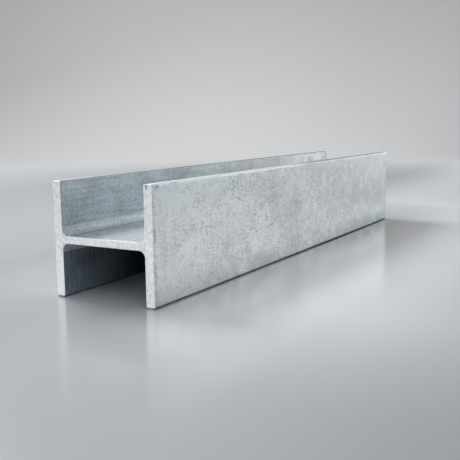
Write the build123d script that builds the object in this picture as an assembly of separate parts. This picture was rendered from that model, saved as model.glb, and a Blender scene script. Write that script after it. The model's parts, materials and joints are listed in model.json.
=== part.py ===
"""Hot-rolled wide-flange steel beam, sawn to length and galvanised.

The beam is one rolled piece: two parallel flanges joined by a web. It lies on its
flange tips, with the flanges upright and the web level between them, as an H.

Frame: X runs along the beam, Y across the section depth, Z up the flange width.
The origin is under the middle of the beam, on the plane that the flange tips stand on.
"""

import os

from build123d import *

# Driving dimensions in millimetres. The section is the 106 x 103 wide-flange
# shape of 19.3 kg/m, with parallel flanges.
BEAM_LENGTH = 610.0        # between the two sawn ends, along X
SECTION_DEPTH = 106.0      # over the outer faces of the two flanges, along Y
FLANGE_WIDTH = 103.0       # from tip to tip of one flange, along Z
FLANGE_THICKNESS = 8.8
WEB_THICKNESS = 7.1
ROOT_RADIUS = 6.0          # rolled fillet where the web meets a flange
TIP_RADIUS = 1.2           # rolled rounding along the corners of the flange tips
SAWN_EDGE_RADIUS = 0.6     # deburred and zinc-coated edge round each sawn end


def rolled_section():
    """The beam's cross-section, centred, with its depth along local X and its flanges along local Y."""
    flange_offset = (SECTION_DEPTH - FLANGE_THICKNESS) / 2
    flange = Rectangle(FLANGE_THICKNESS, FLANGE_WIDTH)
    web = Rectangle(SECTION_DEPTH - FLANGE_THICKNESS, WEB_THICKNESS)
    section = web + [Pos(X=side * flange_offset) * flange for side in (-1, 1)]

    _, lower_roots, upper_roots, _ = section.vertices().group_by(Axis.Y)
    section = fillet(lower_roots + upper_roots, ROOT_RADIUS)

    levels = section.vertices().group_by(Axis.Y)
    return fillet(levels[0] + levels[-1], TIP_RADIUS)


def sawn_beam(section):
    """The section rolled out to the beam's length, with the edges of both sawn ends broken."""
    bar = extrude(Plane.YZ * section, amount=BEAM_LENGTH / 2, both=True)
    ends = bar.faces().sort_by(Axis.X)
    return fillet(ends[0].edges() + ends[-1].edges(), SAWN_EDGE_RADIUS)


i_beam = Pos(Z=FLANGE_WIDTH / 2) * sawn_beam(rolled_section())
i_beam.label = "i_beam"

os.makedirs("parts", exist_ok=True)
export_step(i_beam, "parts/i_beam.step")
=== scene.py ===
"""Looks of the galvanised steel beam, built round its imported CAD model.

All lengths are in metres, in the CAD frame: X along the beam, Y across the section from
flange to flange, Z up from the floor that the flange tips stand on.
"""

import json
import math

import bmesh
import bpy
from mathutils import Matrix, Vector


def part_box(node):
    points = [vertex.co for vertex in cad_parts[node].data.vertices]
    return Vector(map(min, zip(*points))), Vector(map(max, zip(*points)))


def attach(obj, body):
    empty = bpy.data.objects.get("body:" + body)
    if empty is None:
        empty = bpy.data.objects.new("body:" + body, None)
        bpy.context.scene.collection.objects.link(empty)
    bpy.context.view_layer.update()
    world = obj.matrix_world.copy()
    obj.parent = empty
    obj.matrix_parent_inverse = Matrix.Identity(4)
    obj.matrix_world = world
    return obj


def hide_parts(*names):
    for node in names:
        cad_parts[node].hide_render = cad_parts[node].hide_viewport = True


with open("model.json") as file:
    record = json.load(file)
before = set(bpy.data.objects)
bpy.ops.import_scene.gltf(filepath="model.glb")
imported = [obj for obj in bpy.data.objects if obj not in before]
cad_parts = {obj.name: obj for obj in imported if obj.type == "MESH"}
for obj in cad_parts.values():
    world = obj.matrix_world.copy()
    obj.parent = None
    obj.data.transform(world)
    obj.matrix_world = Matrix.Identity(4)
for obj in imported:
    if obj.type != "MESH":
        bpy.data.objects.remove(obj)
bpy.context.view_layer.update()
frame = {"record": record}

MM = 0.001

# Rounded edges of the rolled and sawn steel, as in the part's source.
ROOT_RADIUS = 6.0 * MM
TIP_RADIUS = 1.2 * MM
SAWN_EDGE_RADIUS = 0.6 * MM
WORN_FOOT_RADIUS = 2.2 * MM    # the tips that stand on the floor are worn a little rounder

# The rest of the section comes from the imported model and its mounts.
low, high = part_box("i_beam")
length, depth, width = high - low
mounts = {mount["name"]: Vector(mount["pos_m"]) for mount in frame["record"]["mounts"]}
web_top = mounts["web_face_upper"].z
web_bottom = mounts["web_face_lower"].z
web_thickness = web_top - web_bottom
web_middle = (web_top + web_bottom) / 2
flange_thickness = 2 * (high.y - mounts["flange_tip_foot_plus_y"].y)
channel = depth - 2 * flange_thickness

NEAR = 0.02 * MM    # how closely a point has to lie on a plane to be picked there
FACING = 0.9        # how much of a face's normal has to lie along an axis to be picked by it


def linear(code):
    """An sRGB hex colour as linear RGBA."""
    parts = [int(code[i:i + 2], 16) / 255 for i in (1, 3, 5)]
    return [c / 12.92 if c <= 0.04045 else ((c + 0.055) / 1.055) ** 2.4 for c in parts] + [1.0]


def pick(kind, test):
    """In edit mode, selects the edges or the faces that pass a test, and nothing else."""
    bpy.ops.mesh.select_mode(type=kind)
    bpy.ops.mesh.select_all(action="DESELECT")
    shape = bmesh.from_edit_mesh(bpy.context.object.data)
    shape.normal_update()
    for item in shape.edges if kind == "EDGE" else shape.faces:
        if test(item):
            item.select_set(True)
    bmesh.update_edit_mesh(bpy.context.object.data)


def lies_along(edge, axis):
    """Whether an edge is parallel to one axis, 0 for X, 1 for Y and 2 for Z."""
    run = edge.verts[1].co - edge.verts[0].co
    return abs(abs(run[axis]) - run.length) < NEAR


def cut_across(normal, places):
    """In edit mode, cuts the whole piece along planes with one normal, at distances from the origin."""
    for place in places:
        bpy.ops.mesh.select_all(action="SELECT")
        bpy.ops.mesh.bisect(plane_co=Vector(normal) * place, plane_no=normal)


def evenly(start, end, spacing):
    """Places from start to end, both included, about one spacing apart."""
    count = round((end - start) / spacing)
    return [start + (end - start) * step / count for step in range(count + 1)]


def relief(name, size, height, stretch=(1, 1, 1), octaves=2):
    """Raises and lowers the active piece along its normals by a cloudy pattern of one size."""
    cloud = bpy.data.textures.new(name, "CLOUDS")
    cloud.noise_scale = size
    cloud.noise_depth = octaves
    bpy.ops.object.modifier_add(type="DISPLACE")
    lift = bpy.context.object.modifiers[-1]
    lift.texture = cloud
    lift.strength = height
    piece = bpy.context.object
    bpy.ops.object.empty_add()
    guide = bpy.context.object
    guide.scale = stretch
    bpy.context.view_layer.update()
    lift.texture_coords = "OBJECT"
    lift.texture_coords_object = guide
    bpy.ops.object.select_all(action="DESELECT")
    bpy.context.view_layer.objects.active = piece
    piece.select_set(True)
    bpy.ops.object.modifier_apply(modifier=lift.name)
    bpy.data.objects.remove(guide)
    bpy.data.textures.remove(cloud)


# The beam starts as the web, grows the flanges from the web's two edges, and gets its fillets.
bpy.ops.object.select_all(action="DESELECT")
bpy.ops.mesh.primitive_cube_add(
    size=1, location=(0, 0, web_middle), scale=(length, channel, web_thickness)
)
beam = bpy.context.object
beam.name = "galvanised_beam"
bpy.ops.object.transform_apply(location=True, rotation=True, scale=True)
bpy.ops.object.mode_set(mode="EDIT")

pick("FACE", lambda face: abs(face.normal.y) > FACING)
bpy.ops.mesh.extrude_region_shrink_fatten(TRANSFORM_OT_shrink_fatten={"value": flange_thickness})
pick("FACE", lambda face: abs(face.normal.z) > FACING and abs(face.calc_center_median().y) > channel / 2)
bpy.ops.mesh.extrude_region_shrink_fatten(
    TRANSFORM_OT_shrink_fatten={"value": (width - web_thickness) / 2}
)
bpy.ops.mesh.select_all(action="SELECT")
bpy.ops.mesh.dissolve_limited(angle_limit=math.radians(1))


def is_root(edge):
    """Whether the web meets a flange in this edge."""
    middle = (edge.verts[0].co + edge.verts[1].co) / 2
    at_web = min(abs(middle.z - web_top), abs(middle.z - web_bottom)) < NEAR
    return lies_along(edge, 0) and at_web and abs(abs(middle.y) - channel / 2) < NEAR


def is_tip(edge):
    """Whether this is a long edge of an upper flange tip."""
    return lies_along(edge, 0) and abs(edge.verts[0].co.z - high.z) < NEAR


def is_foot(edge):
    """Whether this is a long edge of a flange tip that stands on the floor."""
    return lies_along(edge, 0) and abs(edge.verts[0].co.z - low.z) < NEAR


def is_sawn(edge):
    """Whether this edge runs round a sawn end."""
    at_end = all(abs(abs(corner.co.x) - length / 2) < NEAR for corner in edge.verts)
    return at_end and not lies_along(edge, 0)


# Which edges are rounded, to what radius and in how many steps.
for is_rounded, rounding, steps in (
    (is_root, ROOT_RADIUS, 6),
    (is_tip, TIP_RADIUS, 4),
    (is_foot, WORN_FOOT_RADIUS, 4),
    (is_sawn, SAWN_EDGE_RADIUS, 2),
):
    pick("EDGE", is_rounded)
    bpy.ops.mesh.bevel(offset=rounding, segments=steps, affect="EDGES")

# Cuts a little over 2 mm apart, in all three directions, so that the zinc's relief is in the mesh.
GRID = 2.4 * MM
TOO_LONG = 1.5 * GRID    # edges along X that are longer are divided
web_half_flat = channel / 2 - ROOT_RADIUS
flange_cuts = [channel / 2 + flange_thickness * part for part in (0.25, 0.5, 0.75)]
cut_across((0, 1, 0), evenly(-web_half_flat, web_half_flat, GRID))
cut_across((0, 1, 0), flange_cuts + [-place for place in flange_cuts])
root_half = web_thickness / 2 + ROOT_RADIUS
cut_across((0, 0, 1), evenly(low.z + WORN_FOOT_RADIUS, web_middle - root_half, GRID))
cut_across((0, 0, 1), evenly(web_middle - root_half, web_middle + root_half, GRID)[1:-1])
cut_across((0, 0, 1), evenly(web_middle + root_half, high.z - TIP_RADIUS, GRID))
# Along X, each of two rounds divides by the square root of the number of lengths.
long_cuts = round((length / GRID) ** 0.5)
for _ in range(2):
    pick("EDGE", lambda edge: lies_along(edge, 0) and edge.calc_length() > TOO_LONG)
    bpy.ops.mesh.subdivide(number_cuts=long_cuts - 1)
bpy.ops.mesh.select_all(action="SELECT")
bpy.ops.mesh.normals_make_consistent(inside=False)
bpy.ops.object.mode_set(mode="OBJECT")

# The zinc coat: long swells from rolling and dipping, runs that drained down, and small ripples.
relief("rolled_swell", size=60 * MM, height=0.25 * MM)
relief("drained_runs", size=7 * MM, height=0.08 * MM, stretch=(1, 1, 8))
relief("zinc_ripple", size=6 * MM, height=0.08 * MM)
bpy.ops.object.shade_smooth_by_angle(angle=math.radians(50))
# The large faces keep their own normals up to their edges, so that the edges stay crisp.
bpy.ops.object.modifier_add(type="WEIGHTED_NORMAL")
beam.modifiers[-1].keep_sharp = True
bpy.ops.object.modifier_apply(modifier=beam.modifiers[-1].name)


def add(tree, kind, sockets=None, **settings):
    """Adds one node with its settings, and sets or links the inputs given by name or number."""
    made = tree.nodes.new(kind)
    for name, value in settings.items():
        setattr(made, name, value)
    for name, value in (sockets or {}).items():
        if isinstance(value, bpy.types.NodeSocket):
            tree.links.new(value, made.inputs[name])
        else:
            made.inputs[name].default_value = value
    return made


def new_material(name):
    """A node material, its tree and its shader."""
    finish = bpy.data.materials.new(name)
    finish.use_nodes = True
    tree = finish.node_tree
    shader = next(n for n in tree.nodes if n.type == "BSDF_PRINCIPLED")
    return finish, tree, shader


# Hot-dip galvanised zinc on rolled steel. The dip leaves a matt grey metal with soft clouds, pale
# wisps where the zinc ran, short dark dashes in patches and drained streaks. The sawn ends are paler and
# plainer, and a dark broken line lies on the outer faces just behind them. The colour also paints light and
# shade: a darker foot, shade between the flanges and at their tops, and paler root fillets.
zinc, tree, shader = new_material("hot_dip_galvanised_zinc")
place = add(tree, "ShaderNodeTexCoord").outputs["Object"]
axes = add(tree, "ShaderNodeSeparateXYZ", {"Vector": place}).outputs

# How strongly each pattern and each zone shows at a point, by name.
spread = {}

# Each pattern's kind of noise, size in millimetres, stretch along the axes, detail, roughness and
# distortion, and the noise range that it takes, carried to the values that follow. Worms, breaks and
# grain are drawn coarser than real zinc grain, or they would not show in the render.
RIDGED = "RIDGED_MULTIFRACTAL"
PATTERNS = {
    "blotches": ("FBM", 48, (1.6, 1, 1), 3, 0.5, 0.8, (0.3, 0.7), (-1, 1)),
    "clouds": ("FBM", 17, (1.5, 1, 1), 3, 0.55, 1.0, (0.3, 0.7), (-1, 1)),
    "wisps": (RIDGED, 13, (1.7, 1, 1.2), 0, 0.5, 0.8, (0.88, 0.99), (0, 1)),
    "gaps": ("FBM", 8, (1.6, 1, 1.2), 2, 0.5, 0.3, (0.46, 0.58), (0, 1)),
    "streaks": ("FBM", 4, (1, 1, 12), 3, 0.6, 0.3, (0.3, 0.7), (-1, 1)),
    "drips": (RIDGED, 14, (1, 1, 2.6), 1, 0.5, 0.6, (0.86, 0.985), (0, 1)),
    "rolled": ("FBM", 2.5, (16, 1, 1), 2, 0.5, 0.0, (0.3, 0.7), (-1, 1)),
    "grain": ("FBM", 1.3, (2.0, 1, 1.1), 1, 0.6, 0.0, (0.3, 0.7), (-1, 1)),
    "worms": (RIDGED, 4.8, (1.8, 1, 1.1), 0, 0.5, 0.5, (0.70, 0.92), (0, 1)),
    "breaks": ("FBM", 2.0, (1.8, 1, 1.1), 1, 0.5, 0.0, (0.42, 0.56), (0, 1)),
    "patches": ("FBM", 55, (1.4, 1, 1), 3, 0.5, 1.0, (0.38, 0.58), (0.20, 1)),
    "specks": ("FBM", 1.6, (1, 1, 1.2), 3, 0.6, 0.0, (0.56, 0.74), (0, 1)),
    "mottle": ("FBM", 2.6, (1, 1, 1.5), 3, 0.65, 0.6, (0.3, 0.7), (-1, 1)),
    "nicks": ("FBM", 1.8, (0.9, 1, 2.4), 2, 0.6, 0.0, (0.47, 0.60), (0, 1)),
}
for name, (noise_kind, size, stretch, detail, roughness, distortion, span, values) in PATTERNS.items():
    where = add(tree, "ShaderNodeMapping", {
        "Vector": place, "Scale": [1 / (size * MM * part) for part in stretch],
    }).outputs["Vector"]
    noise = add(tree, "ShaderNodeTexNoise", {
        "Vector": where, "Scale": 1.0, "Detail": detail, "Roughness": roughness, "Distortion": distortion,
        **({"Offset": 1.0} if noise_kind == RIDGED else {}),
    }, noise_type=noise_kind).outputs["Fac"]
    spread[name] = add(tree, "ShaderNodeMapRange", {
        "Value": noise, "From Min": span[0], "From Max": span[1], "To Min": values[0], "To Max": values[1],
    }, interpolation_type="SMOOTHSTEP").outputs["Result"]

# Where a point lies: how far inside the nearer sawn end, how high over or under the web's face, how far from
# the nearer flange's inner face, towards the middle of the channel, and how high over the floor, give or take
# a wave of the clouds.
along = add(tree, "ShaderNodeMath", {0: axes["X"]}, operation="ABSOLUTE").outputs[0]
inside = add(tree, "ShaderNodeMath", {0: length / 2, 1: along}, operation="SUBTRACT").outputs[0]
off_web = add(tree, "ShaderNodeMath", {0: axes["Z"], 1: web_middle}, operation="SUBTRACT").outputs[0]
off_web = add(tree, "ShaderNodeMath", {0: off_web}, operation="ABSOLUTE").outputs[0]
off_web = add(tree, "ShaderNodeMath", {0: off_web, 1: web_thickness / 2}, operation="SUBTRACT").outputs[0]
across = add(tree, "ShaderNodeMath", {0: axes["Y"]}, operation="ABSOLUTE").outputs[0]
off_flange = add(tree, "ShaderNodeMath", {0: channel / 2, 1: across}, operation="SUBTRACT").outputs[0]
FOOT_WAVE = 8 * MM
wavy = add(tree, "ShaderNodeMath", {
    0: spread["clouds"], 1: FOOT_WAVE, 2: axes["Z"],
}, operation="MULTIPLY_ADD").outputs[0]

# How far a point is from each of the small dark spots, on the tip, on the face just
# behind the end, and on a root. Their places are in millimetres: behind the -X end, along Y, over the floor.
DARK_SPOTS = {
    "tip_dark_spot": (0.0, -47.5, 101.5),
    "face_dark_spot": (6.0, -53.0, 101.5),
    "root_dark_spot": (0.5, 40.5, 57.5),
}
off_dark_spot = {}
for name, (behind, aside, above) in DARK_SPOTS.items():
    spot = Vector((low.x + behind * MM, aside * MM, above * MM))
    off_dark_spot[name] = add(tree, "ShaderNodeVectorMath", {
        0: place, 1: spot,
    }, operation="DISTANCE").outputs["Value"]

# Each zone's place value, the millimetres at which it begins and is full, and its full strength.
tip_height = width / MM
ZONES = {
    "sawn": (inside, 1.0, 0.65, 1.0),
    "arris_shade": (inside, 1.2, 0.9, 0.75),
    "off_end": (inside, 0.22, 0.45, 1.0),
    "rim": (inside, 8.0, 1.5, 0.6),
    "plain_end": (inside, 45.0, 5.0, 0.55),
    "far_in_shade": (inside, 45.0, 120.0, 0.95),
    "duller": (axes["X"], -270.0, -45.0, 1.0),
    "dripped": (axes["X"], -80.0, 60.0, 1.0),
    "greyer": (axes["X"], -80.0, 60.0, 1.0),
    "far_face": (axes["X"], -60.0, 250.0, 1.0),
    "highlight_side": (axes["Y"], 30.0, -30.0, 0.90),
    "back_side": (axes["Y"], -30.0, 30.0, 0.75),
    "shaded_top": (axes["Z"], tip_height - 35.0, tip_height - 2.0, 0.5),
    "tip_highlight": (axes["Z"], tip_height - 0.9, tip_height - 0.3, 1.0),
    "darker_tip": (axes["Z"], tip_height - 0.9, tip_height - 0.3, 0.8),
    "edge_line": (axes["Z"], tip_height - 3.4, tip_height - 1.6, 0.35),
    "under_web": (axes["Z"], web_middle / MM, web_bottom / MM - 4.0, 1.0),
    "low_face_shade": (axes["Z"], 24.0, 3.0, 1.0),
    "foot_contact_shade": (axes["Z"], 1.8, 0.8, 0.80),
    "foot_shade": (wavy, 30.0, 0.0, 0.34),
    "channel_shade": (off_flange, -2.0, -0.8, 1.0),
    "root": (off_flange, 7.0, 6.2, 1.0),
    "root_toe_shade": (off_flange, 11.5, 6.8, 0.55),
    "root_high": (off_web, 8.0, 7.2, 1.0),
    "tip_dark_spot": (off_dark_spot["tip_dark_spot"], 3.6, 1.08, 1.0),
    "face_dark_spot": (off_dark_spot["face_dark_spot"], 5.0, 1.5, 1.0),
    "root_dark_spot": (off_dark_spot["root_dark_spot"], 3.6, 1.08, 1.0),
}
for name, (value, begins, full, strength) in ZONES.items():
    spread[name] = add(tree, "ShaderNodeMapRange", {
        "Value": value, "From Min": begins * MM, "From Max": full * MM, "To Max": strength,
    }, interpolation_type="SMOOTHSTEP").outputs["Result"]
spread["darker_tip_side"] = add(tree, "ShaderNodeMath", {
    0: spread["dripped"], 1: spread["back_side"],
}, operation="MAXIMUM").outputs[0]
spread["brushed"] = spread["streaks"]
spread["end_streaks"] = spread["streaks"]

# What shows only in places, in this order: a pattern or zone, those that it is kept to, and those that thin
# it out, each with the share that it takes away.
LIMITS = (
    # The rim, the plain stretch near each end, the duller part towards +X and the painted shade at the top
    # are kept off the faces between the flanges.
    ("rim", ("nicks",), {"channel_shade": 1.0}),
    ("plain_end", (), {"channel_shade": 1.0}),
    ("duller", (), {"channel_shade": 1.0}),
    ("shaded_top", (), {"channel_shade": 1.0}),
    ("under_web", ("channel_shade",), {}),
    # The dark worms are broken into dashes, come in patches, and are fewer near the ends, towards +X and on
    # the sheltered faces, and there are none under the web. The blotches are fainter towards +X.
    ("worms", ("breaks", "patches"), {"plain_end": 1.0, "dripped": 0.7, "channel_shade": 0.5, "under_web": 1.0}),
    ("blotches", (), {"dripped": 0.65}),
    # The pale wisps and drips are broken too, and fewer near the ends. The drips are towards +X.
    ("wisps", ("gaps",), {"plain_end": 1.0}),
    ("drips", ("gaps", "dripped"), {"plain_end": 1.0}),
    # The sheltered faces have rolling lines over the web and streaks under it, and the ends have streaks.
    ("rolled", ("channel_shade",), {"under_web": 1.0}),
    ("brushed", ("under_web",), {}),
    ("end_streaks", ("plain_end",), {}),
    # The rest are kept to where they meet other zones or patterns.
    ("low_face_shade", ("far_face",), {}),
    ("greyer", ("channel_shade",), {}),
    ("edge_line", ("channel_shade",), {}),
    ("far_in_shade", ("under_web",), {}),
    ("root_toe_shade", ("root_high", "channel_shade"), {}),
    ("root", ("root_high", "channel_shade"), {}),
    ("arris_shade", ("off_end", "channel_shade"), {}),
    ("tip_dark_spot", ("nicks",), {}),
    ("face_dark_spot", ("nicks",), {}),
    ("root_dark_spot", ("nicks",), {}),
    ("tip_highlight", ("highlight_side",), {"sawn": 1.0, "dripped": 1.0}),
    ("darker_tip", ("darker_tip_side",), {"sawn": 1.0}),
)
for name, limits, thinned in LIMITS:
    for limit in limits:
        spread[name] = add(tree, "ShaderNodeMath", {
            0: spread[name], 1: spread[limit],
        }, operation="MULTIPLY").outputs[0]
    for zone, taken in thinned.items():
        left = add(tree, "ShaderNodeMath", {
            0: spread[zone], 1: -taken, 2: 1.0,
        }, operation="MULTIPLY_ADD").outputs[0]
        spread[name] = add(tree, "ShaderNodeMath", {
            0: spread[name], 1: left,
        }, operation="MULTIPLY").outputs[0]

# Sums of these, each with its share, from a first value: the tone between the dull and the bright zinc, that
# tone's contrast, how dark the sawn faces are, the metallic and roughness values, and the height of the fine
# bumps.
spread["height"] = add(tree, "ShaderNodeMath", {0: axes["Z"], 1: width}, operation="DIVIDE").outputs[0]
SUMS = {
    # In the tone, the faces between the flanges get painted shade, darker than the outer faces.
    "tone": (0.42, {
        "blotches": 0.25, "clouds": 0.08, "wisps": 0.28, "streaks": 0.07, "drips": 0.25, "grain": 0.26,
        "rolled": 0.16, "brushed": 0.10, "worms": -0.66, "channel_shade": -0.42, "plain_end": 0.10,
        "duller": -0.55, "under_web": 0.09, "end_streaks": 0.32,
    }),
    "contrast": (1.0, {"channel_shade": 0.25, "under_web": 1.35}),
    # The share of height paints the sawn faces darker towards the top, as shade.
    "sawn_specks_and_shade": (0.02, {"specks": 0.55, "mottle": 0.17, "height": 0.28}),
    "metallic": (0.8, {"sawn": -0.45}),
    "roughness": (0.40, {"clouds": -0.04, "worms": 0.12, "sawn": 0.15, "root": 0.25}),
    "pimples": (0.0, {"grain": 1.0, "worms": -0.6}),
}
sums = {}
for name, (first, shares) in SUMS.items():
    sums[name] = first
    for part, share in shares.items():
        sums[name] = add(tree, "ShaderNodeMath", {
            0: spread[part], 1: share, 2: sums[name],
        }, operation="MULTIPLY_ADD").outputs[0]
MIDDLE_TONE = 0.60
tone = add(tree, "ShaderNodeMath", {
    0: sums["tone"], 1: sums["contrast"], 2: MIDDLE_TONE,
}, operation="MULTIPLY_ADD").outputs[0]

# Colours between two: the plain zinc, the root fillets' zinc painted paler as a highlight, and the speckled
# zinc of the sawn faces, painted darker towards the top. In a Mix node of colours, input 0 is the factor, 6
# and 7 are the colours, and output 2 is the result.
RAMPS = {
    "plain": (tone, "#A9AEB2", "#DEE3E6"),
    "root": (tone, "#B9C0C4", "#E4EAED"),
    "sawn": (sums["sawn_specks_and_shade"], "#E6EAED", "#8F969B"),
}
ramps = {}
for name, (value, first, second) in RAMPS.items():
    ramps[name] = add(tree, "ShaderNodeMix", {
        0: value, 6: linear(first), 7: linear(second),
    }, data_type="RGBA").outputs[2]

# What lies over the plain zinc, from the first to the last: its zone, its colour and how it is blended.
DARK_SPOT_COLOUR = linear("#6F777B")
COATS = (
    # Painted shade: the foot of the flanges is painted darker and greener, as the reflection of the shaded
    # floor next to it, up to a wavy line, and darkest towards +X.
    ("foot_shade", linear("#A6B1B3"), "MIX"),
    ("low_face_shade", linear("#D3DADC"), "MULTIPLY"),
    # Painted shade: the faces between the flanges are painted darker and bluer, as shade and reflections
    # inside the channel make them, bluest under the web and less blue towards +X.
    ("channel_shade", linear("#EAEFF1"), "MULTIPLY"),
    ("under_web", linear("#ECF3FF"), "MULTIPLY"),
    ("greyer", linear("#FFFAF5"), "MULTIPLY"),
    # Painted shade: the upper part of the outer faces is painted darker, against the lamps' brighter
    # reflection there, and a thin darker line lies inside the upper tips.
    ("shaded_top", linear("#E0E4E6"), "MULTIPLY"),
    ("edge_line", linear("#A3AAAF"), "MULTIPLY"),
    # Painted shade: the colour is darkest far in under the web, where little light reaches.
    ("far_in_shade", linear("#364250"), "MIX"),
    # Painted light and shade: the root fillets are painted paler, as they face the light from above, and a
    # dark line is painted along their toes on the web, as the web's reflection of the dark flange.
    ("root_toe_shade", linear("#70787E"), "MIX"),
    ("root", ramps["root"], "MIX"),
    # Broken dark lines lie on the outer faces, a few millimetres in from each end.
    ("rim", linear("#858C91"), "MIX"),
    # The sawn faces are pale with small dark specks, painted darker towards the top as shade, and the arris
    # round the channels is painted dark, as its reflection of the dark channel.
    ("sawn", ramps["sawn"], "MIX"),
    ("arris_shade", linear("#7C8388"), "MIX"),
    ("tip_dark_spot", DARK_SPOT_COLOUR, "MIX"),
    ("face_dark_spot", DARK_SPOT_COLOUR, "MIX"),
    ("root_dark_spot", DARK_SPOT_COLOUR, "MIX"),
    # Painted highlight: the upper tip on the -Y side is painted bright near the -X end, and the rest of the
    # upper tips is painted darker.
    ("tip_highlight", linear("#EEF2F4"), "MIX"),
    ("darker_tip", linear("#868D92"), "MIX"),
    # Painted shade: the lowest edge, which stands on the floor, is painted dark as contact shade.
    ("foot_contact_shade", linear("#445A72"), "MIX"),
)
colour = ramps["plain"]
for name, finish, blend in COATS:
    colour = add(tree, "ShaderNodeMix", {
        0: spread[name], 6: colour, 7: finish,
    }, data_type="RGBA", blend_type=blend).outputs[2]
BUMP_HEIGHT = 0.02 * MM
bump = add(tree, "ShaderNodeBump", {
    "Height": sums["pimples"], "Strength": 1.0, "Distance": BUMP_HEIGHT,
}).outputs["Normal"]
tree.links.new(colour, shader.inputs["Base Color"])
tree.links.new(sums["metallic"], shader.inputs["Metallic"])
tree.links.new(sums["roughness"], shader.inputs["Roughness"])
tree.links.new(bump, shader.inputs["Normal"])

beam.data.materials.clear()
beam.data.materials.append(zinc)
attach(beam, "root")
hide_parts("i_beam")

# Studio sweep: a flat pale floor whose rim curves up into a low wall all round.
FLOOR_RADIUS = 2.0
SWEEP_BEND = 1.0
WALL_HEIGHT = 2.2
bpy.ops.object.select_all(action="DESELECT")
bpy.ops.mesh.primitive_cylinder_add(
    vertices=128, radius=FLOOR_RADIUS + SWEEP_BEND, depth=WALL_HEIGHT, location=(0, 0, WALL_HEIGHT / 2)
)
sweep = bpy.context.object
sweep.name = "studio_sweep"
bpy.ops.object.transform_apply(location=True, rotation=True, scale=True)
bpy.ops.object.mode_set(mode="EDIT")
pick("FACE", lambda face: face.normal.z > FACING)
bpy.ops.mesh.delete(type="FACE")
pick("EDGE", lambda edge: all(abs(corner.co.z) < NEAR for corner in edge.verts))
bpy.ops.mesh.bevel(offset=SWEEP_BEND, segments=24, affect="EDGES")
bpy.ops.mesh.select_all(action="SELECT")
bpy.ops.mesh.flip_normals()
bpy.ops.object.mode_set(mode="OBJECT")
bpy.ops.object.shade_smooth_by_angle(angle=math.radians(30))

# Pale floor with a sealed, polished coat, which mirrors the beam faintly and softly close to it.
floor, tree, shader = new_material("polished_pale_floor")
shader.inputs["Roughness"].default_value = 0.16
shader.inputs["IOR"].default_value = 1.8
place = add(tree, "ShaderNodeTexCoord").outputs["Object"]

# Three ovals on the floor: the polish fades away from the beam, so that the lamps don't show in the floor,
# and painted shadow makes the floor a little darker beside the beam, and darker still by the +X half of the
# outer
# -Y face. Each has its middle, how much a distance along X, Y and Z counts, the distances between which it
# fades, and its values inside and outside.
FLOOR_OVALS = {
    "polish": ((-0.08, -0.06, 0.0), (0.5, 1, 0), (0.08, 0.30), (0.3, 0.0)),
    "shadow_beside": ((0.05, 0.0, 0.0), (0.35, 1, 0), (0.10, 0.19), (0.42, 1.0)),
    "shadow_by_face": ((0.12, -0.06, 0.0), (0.22, 1, 0), (0.0, 0.06), (0.8, 0.0)),
}
ovals = {}
for name, (middle, counts, fades, values) in FLOOR_OVALS.items():
    oval = add(tree, "ShaderNodeVectorMath", {0: place, 1: middle}, operation="SUBTRACT").outputs["Vector"]
    oval = add(tree, "ShaderNodeMapping", {"Vector": oval, "Scale": counts}).outputs["Vector"]
    off_middle = add(tree, "ShaderNodeVectorMath", {0: oval}, operation="LENGTH").outputs["Value"]
    ovals[name] = add(tree, "ShaderNodeMapRange", {
        "Value": off_middle, "From Min": fades[0], "From Max": fades[1],
        "To Min": values[0], "To Max": values[1],
    }, interpolation_type="SMOOTHSTEP").outputs["Result"]
tree.links.new(ovals["polish"], shader.inputs["Specular IOR Level"])

# Painted shade: the floor is painted a little darker before the -X end, on the +Y side, farther behind that,
# on the -Y side, and away from the beam, so that it looks lit most near the beam: each fade's place value,
# where the floor is still pale, where it is darkest, and how pale it is there.
sides = add(tree, "ShaderNodeSeparateXYZ", {"Vector": place}).outputs
level = add(tree, "ShaderNodeMapping", {"Vector": place, "Scale": (1, 1, 0)}).outputs["Vector"]
away = add(tree, "ShaderNodeVectorMath", {0: level}, operation="LENGTH").outputs["Value"]
FLOOR_FADES = (
    (sides["X"], -0.20, -0.46, 0.50),
    (sides["Y"], -0.02, 0.22, 0.32),
    (sides["Y"], 0.40, 0.90, 0.45),
    (sides["Y"], -0.18, -0.36, 0.42),
    (away, 0.25, 0.70, 0.70),
)
paler = 1.0
for value, pale_at, darkest_at, darkest in FLOOR_FADES:
    fade = add(tree, "ShaderNodeMapRange", {
        "Value": value, "From Min": darkest_at, "From Max": pale_at, "To Min": darkest,
    }, interpolation_type="SMOOTHSTEP").outputs["Result"]
    paler = add(tree, "ShaderNodeMath", {0: paler, 1: fade}, operation="MULTIPLY").outputs[0]
# Painted shadow: the floor is darker next to the beam, and darker still by the +X half of the outer -Y face.
paler = add(tree, "ShaderNodeMath", {0: paler, 1: ovals["shadow_beside"]}, operation="MULTIPLY").outputs[0]
floor_colour = add(tree, "ShaderNodeMix", {
    0: paler, 6: linear("#7E8184"), 7: linear("#C4C7CA"),
}, data_type="RGBA").outputs[2]
floor_colour = add(tree, "ShaderNodeMix", {
    0: ovals["shadow_by_face"], 6: floor_colour, 7: linear("#55595D"),
}, data_type="RGBA").outputs[2]
tree.links.new(floor_colour, shader.inputs["Base Color"])

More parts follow.
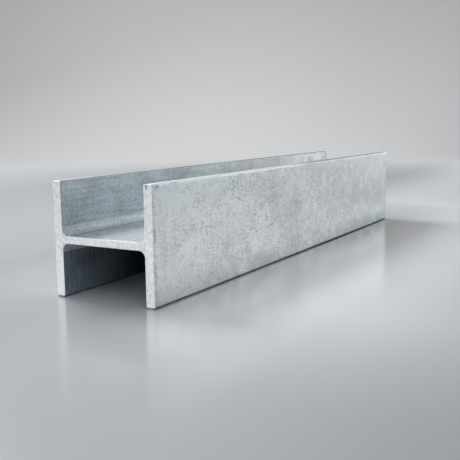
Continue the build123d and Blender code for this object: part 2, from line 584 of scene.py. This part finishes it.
# The sweep glows towards its rim where the camera and reflections see it, most of all behind the beam,
# which keeps the background pale.
GLOW_START = 0.8
GLOW_FULL = 2.1
GLOW_MIDDLE = Vector((2.0, 1.25, 0.2))
GLOW_REACH = 2.6
GLOW_LEVELS = (0.49, 0.10)    # at the middle of the glow, and at its reach
paths = add(tree, "ShaderNodeLightPath").outputs
seen = add(tree, "ShaderNodeMath", {
    0: paths["Is Camera Ray"], 1: paths["Is Glossy Ray"],
}, operation="MAXIMUM").outputs[0]
seen = add(tree, "ShaderNodeMath", {0: seen, 1: paths["Is Transmission Ray"]}, operation="MAXIMUM").outputs[0]
rise = add(tree, "ShaderNodeMapRange", {
    "Value": away, "From Min": GLOW_START, "From Max": GLOW_FULL,
}, interpolation_type="SMOOTHSTEP").outputs["Result"]
off_glow = add(tree, "ShaderNodeVectorMath", {
    0: place, 1: GLOW_MIDDLE,
}, operation="DISTANCE").outputs["Value"]
fall = add(tree, "ShaderNodeMapRange", {
    "Value": off_glow, "From Max": GLOW_REACH, "To Min": GLOW_LEVELS[0], "To Max": GLOW_LEVELS[1],
}, interpolation_type="SMOOTHSTEP").outputs["Result"]
glow = add(tree, "ShaderNodeMath", {0: rise, 1: fall}, operation="MULTIPLY").outputs[0]
glow = add(tree, "ShaderNodeMath", {0: seen, 1: glow}, operation="MULTIPLY").outputs[0]
shader.inputs["Emission Color"].default_value = linear("#FFFFFF")
tree.links.new(glow, shader.inputs["Emission Strength"])
sweep.data.materials.append(floor)

# Soft white lamps: place, the point that each is turned to, width, height and energy in watts.
BEAM_MIDDLE = (0, 0, width / 2)
LAMP_LEVEL = 0.62
SOFTBOXES = {
    "left": ((-1.45, 1.2, LAMP_LEVEL), (0, 0, LAMP_LEVEL), 1.8, 1.2, 10.3),
    "left_low": ((-2.2, -0.1, 0.50), BEAM_MIDDLE, 2.0, 0.9, 12.4),
    "right": ((1.7, -0.80, LAMP_LEVEL), (0, 0, LAMP_LEVEL), 1.8, 1.2, 13.1),
    "front": ((-1.4, -0.9, 1.5), BEAM_MIDDLE, 1.2, 1.2, 14.6),
    "overhead": ((-0.5, 0.4, 2.2), BEAM_MIDDLE, 1.2, 1.2, 13.1),
    "far_side": ((0.35, 1.4, 1.45), BEAM_MIDDLE, 1.1, 0.8, 49.1),
}
for name, (spot, aim, wide, tall, energy) in SOFTBOXES.items():
    bpy.ops.object.light_add(type="AREA", location=spot)
    lamp = bpy.context.object
    lamp.name = "softbox_" + name
    lamp.rotation_mode = "QUATERNION"
    lamp.rotation_quaternion = (Vector(aim) - Vector(spot)).to_track_quat("-Z", "Y")
    lamp.data.shape = "RECTANGLE"
    lamp.data.size = wide
    lamp.data.size_y = tall
    lamp.data.energy = energy
    lamp.visible_camera = False

SKY_LEVEL = 0.01
sky = bpy.data.worlds.new("studio_air")
sky.use_nodes = True
background = next(n for n in sky.node_tree.nodes if n.type == "BACKGROUND")
background.inputs["Color"].default_value = linear("#FFFFFF")
background.inputs["Strength"].default_value = SKY_LEVEL
bpy.context.scene.world = sky
bpy.context.scene.view_settings.view_transform = "Standard"

# Camera fitted to the beam's edges in the photo.
CAMERA_PLACE = Vector((-0.77424, -0.39201, 0.15307))
CAMERA_YAW = math.radians(60.317)      # from +Y towards +X
CAMERA_PITCH = math.radians(8.629)     # below level
CAMERA_ROLL = math.radians(-0.638)
SENSOR = 36.0
LENS = 56.52

level_right = Vector((math.cos(CAMERA_YAW), -math.sin(CAMERA_YAW), 0))
ahead = Vector((
    math.sin(CAMERA_YAW) * math.cos(CAMERA_PITCH),
    math.cos(CAMERA_YAW) * math.cos(CAMERA_PITCH),
    -math.sin(CAMERA_PITCH),
))
right = Matrix.Rotation(-CAMERA_ROLL, 3, ahead) @ level_right
up = right.cross(ahead)
bpy.ops.object.camera_add()
camera = bpy.context.object
camera.name = "photo_camera"
camera.data.sensor_width = SENSOR
camera.data.lens = LENS
camera.data.clip_start = 0.01
camera.matrix_world = Matrix.Translation(CAMERA_PLACE) @ Matrix((right, up, -ahead)).transposed().to_4x4()
bpy.context.scene.camera = camera
